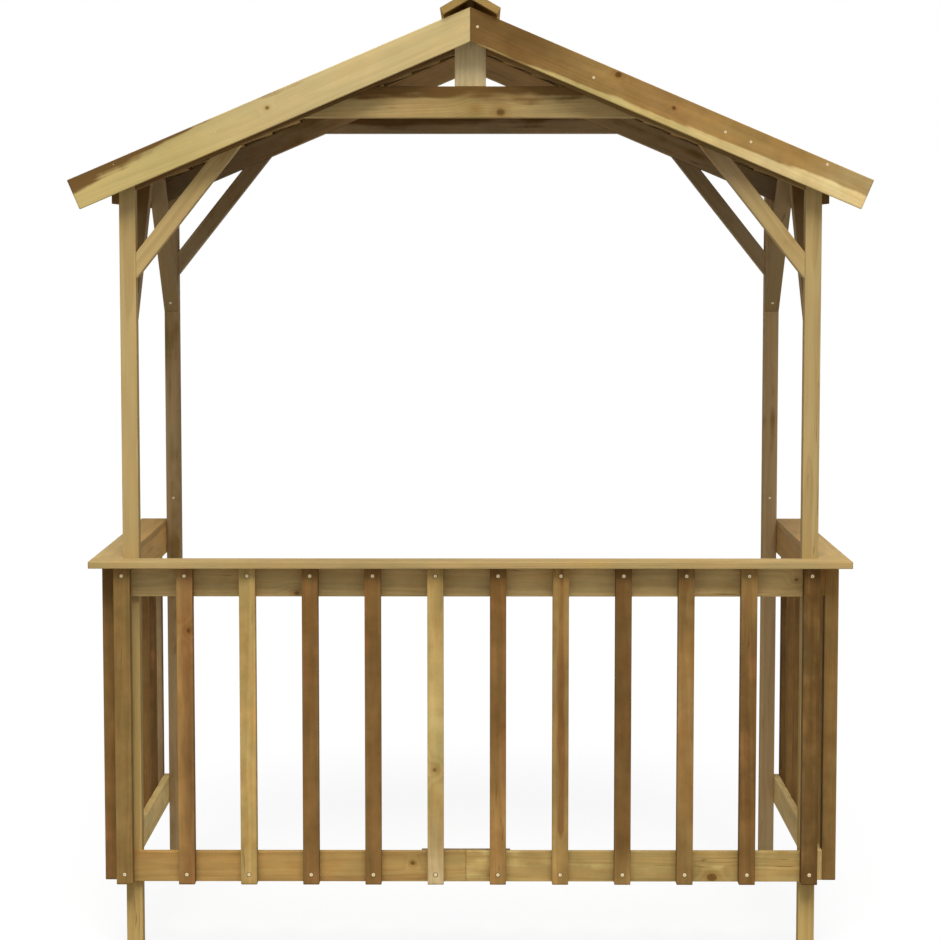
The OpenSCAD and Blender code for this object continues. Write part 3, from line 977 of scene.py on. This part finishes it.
screw_finish, shader, speck = speckled_finish(
    "screw_finish", 900.0, tone(240, 224, 184), tone(220, 200, 154),
)
tree = screw_finish.node_tree
limits = {0: speck, 3: 0.35, 4: 0.55}
tree.links.new(add_node(tree, "ShaderNodeMapRange", limits), shader.inputs["Roughness"])
shader.inputs["Metallic"].default_value = 0.35

# Radii of the heads
baluster_head, barge_head, frame_head = 0.0040, 0.0030, 0.0038
pin_head, nail_head = 0.0011, 0.0030
screw_heads("baluster_screws", screw_places, baluster_head, rim=1.45)

# Runs down each bargeboard and heights from its middle line, from the ridge to the eaves
barge_spots = [(0.017, 0.001), (0.299, -0.001), (0.617, 0.003), (0.678, 0.005), (0.855, 0.026)]
barge_places = {"bargeboard_screws": [], "bargeboard_pins": []}
for corner in corner_names:
    low, high = map(np.array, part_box(corner + "_bargeboard"))
    down, face = roof_slope("left" in corner)
    outside, y = (to_front, low[1]) if "front" in corner else (to_rear, high[1])
    line = np.array([0, y, high[2] - barge_half_rise])
    kind = "bargeboard_pins" if corner == "front_left" else "bargeboard_screws"
    barge_places[kind] += [(line + down * run + face * up, outside) for run, up in barge_spots]
screw_heads("bargeboard_screws", barge_places["bargeboard_screws"], barge_head)
screw_heads("bargeboard_pins", barge_places["bargeboard_pins"], pin_head)

# One screw in each rear post, above the counter
rear_screw_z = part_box("left_counter_board")[1][2] + 0.057
frame_places = [*brace_places]
for corner in corner_names:
    low, high = map(np.array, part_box(corner + "_post"))
    if "rear" in corner:
        frame_places.append((((low[0] + high[0]) / 2, low[1], rear_screw_z), to_front))
    left = "left" in corner
    rail_low, rail_high = map(np.array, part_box(("left" if left else "right") + "_eaves_rail"))
    outer, outward = (rail_low[0], -to_right) if left else (rail_high[0], to_right)
    y, z = (low[1] + high[1]) / 2, (rail_low[2] + rail_high[2]) / 2
    # One below and one above the rail's middle line
    frame_places += [((outer, y, z + up), outward) for up in (-0.012, 0.008)]
screw_heads("frame_screws", frame_places, frame_head, rim=1.3)
screw_heads("roof_nails", roof_places, nail_head, rim=1.3, recess=0.0)

# --- Floor, light and camera -------------------------------------------------
# The shelter stands on a plain pale floor in an even white room. A broad soft lamp
# hangs in front and above, and the camera looks at the front from head height.


def direct_look(tree):
    """1 on a ray that comes from the camera or through a mirror or glass, otherwise 0."""
    path = tree.nodes.new("ShaderNodeLightPath")
    either = {0: path.outputs["Is Camera Ray"], 1: path.outputs["Is Glossy Ray"]}
    seen = add_node(tree, "ShaderNodeMath", either, operation="MAXIMUM")
    either = {0: seen, 1: path.outputs["Is Transmission Ray"]}
    return add_node(tree, "ShaderNodeMath", either, operation="MAXIMUM")


far, floor_bounce, floor_glow = 60.0, 0.42, 0.86
white = (1, 1, 1, 1)
floor_mesh = bpy.data.meshes.new("floor")
floor_corners = [(-far, -far, 0), (far, -far, 0), (far, far, 0), (-far, far, 0)]
floor_mesh.from_pydata(floor_corners, [], [(0, 1, 2, 3)])
put_in_scene("floor", floor_mesh)
floor_finish = bpy.data.materials.new("floor_finish")
floor_finish.use_nodes = True
tree = floor_finish.node_tree
tree.nodes.clear()
seen = direct_look(tree)
shades = {0: seen, 6: (floor_bounce, floor_bounce, floor_bounce, 1), 7: white}
pale = add_node(tree, "ShaderNodeMix", shades, 2, data_type="RGBA")
matt = add_node(tree, "ShaderNodeBsdfDiffuse", {"Color": pale})
glow_share = add_node(tree, "ShaderNodeMath", {0: seen, 1: floor_glow}, operation="MULTIPLY")
glow = add_node(tree, "ShaderNodeEmission", {"Color": white, "Strength": 1.0})
both = add_node(tree, "ShaderNodeMixShader", {0: glow_share, 1: matt, 2: glow})
surface = tree.nodes.new("ShaderNodeOutputMaterial")
tree.links.new(both, surface.inputs["Surface"])
floor_mesh.materials.append(floor_finish)

room = bpy.data.worlds.new("room")
room.use_nodes = True
bpy.context.scene.world = room
tree = room.node_tree
back = tree.nodes["Background"]
back.inputs["Color"].default_value = white
seen = direct_look(tree)
aim = tree.nodes.new("ShaderNodeSeparateXYZ")
tree.links.new(add_node(tree, "ShaderNodeTexCoord", {}, out=0), aim.inputs[0])
# The room's light grows from the horizon to overhead, and towards the front
overhead = {0: aim.outputs[2], 1: 0.0, 2: 1.0, 3: 0.30, 4: 0.48}
in_front = {0: aim.outputs[1], 1: 0.0, 2: -1.0, 3: 0.0, 4: 0.16}
level = add_node(tree, "ShaderNodeMapRange", overhead)
fore = add_node(tree, "ShaderNodeMapRange", in_front)
level = add_node(tree, "ShaderNodeMath", {0: level, 1: fore}, operation="ADD")
strength = {0: seen, 2: level, 3: 1.0}
tree.links.new(add_node(tree, "ShaderNodeMix", strength, 0), back.inputs["Strength"])

lamp_height, lamp_spread = math.radians(56), math.radians(30)
lamp_data = bpy.data.lights.new("softbox", "SUN")
lamp_data.energy = 2.75
lamp_data.angle = lamp_spread
lamp = put_in_scene("softbox", lamp_data)
lamp.rotation_euler = (math.radians(90) - lamp_height, 0, 0)

camera_tilt, camera_turn = math.radians(4.907), math.radians(0.21)
camera_data = bpy.data.cameras.new("camera")
camera_data.sensor_width = 36
camera_data.lens = 100.4
camera = put_in_scene("camera", camera_data)
camera.location = (0.021, -6.3735, 1.633)
camera.rotation_euler = (math.radians(90) - camera_tilt, 0, camera_turn)
bpy.context.scene.camera = camera
bpy.context.scene.view_settings.view_transform = "Standard"
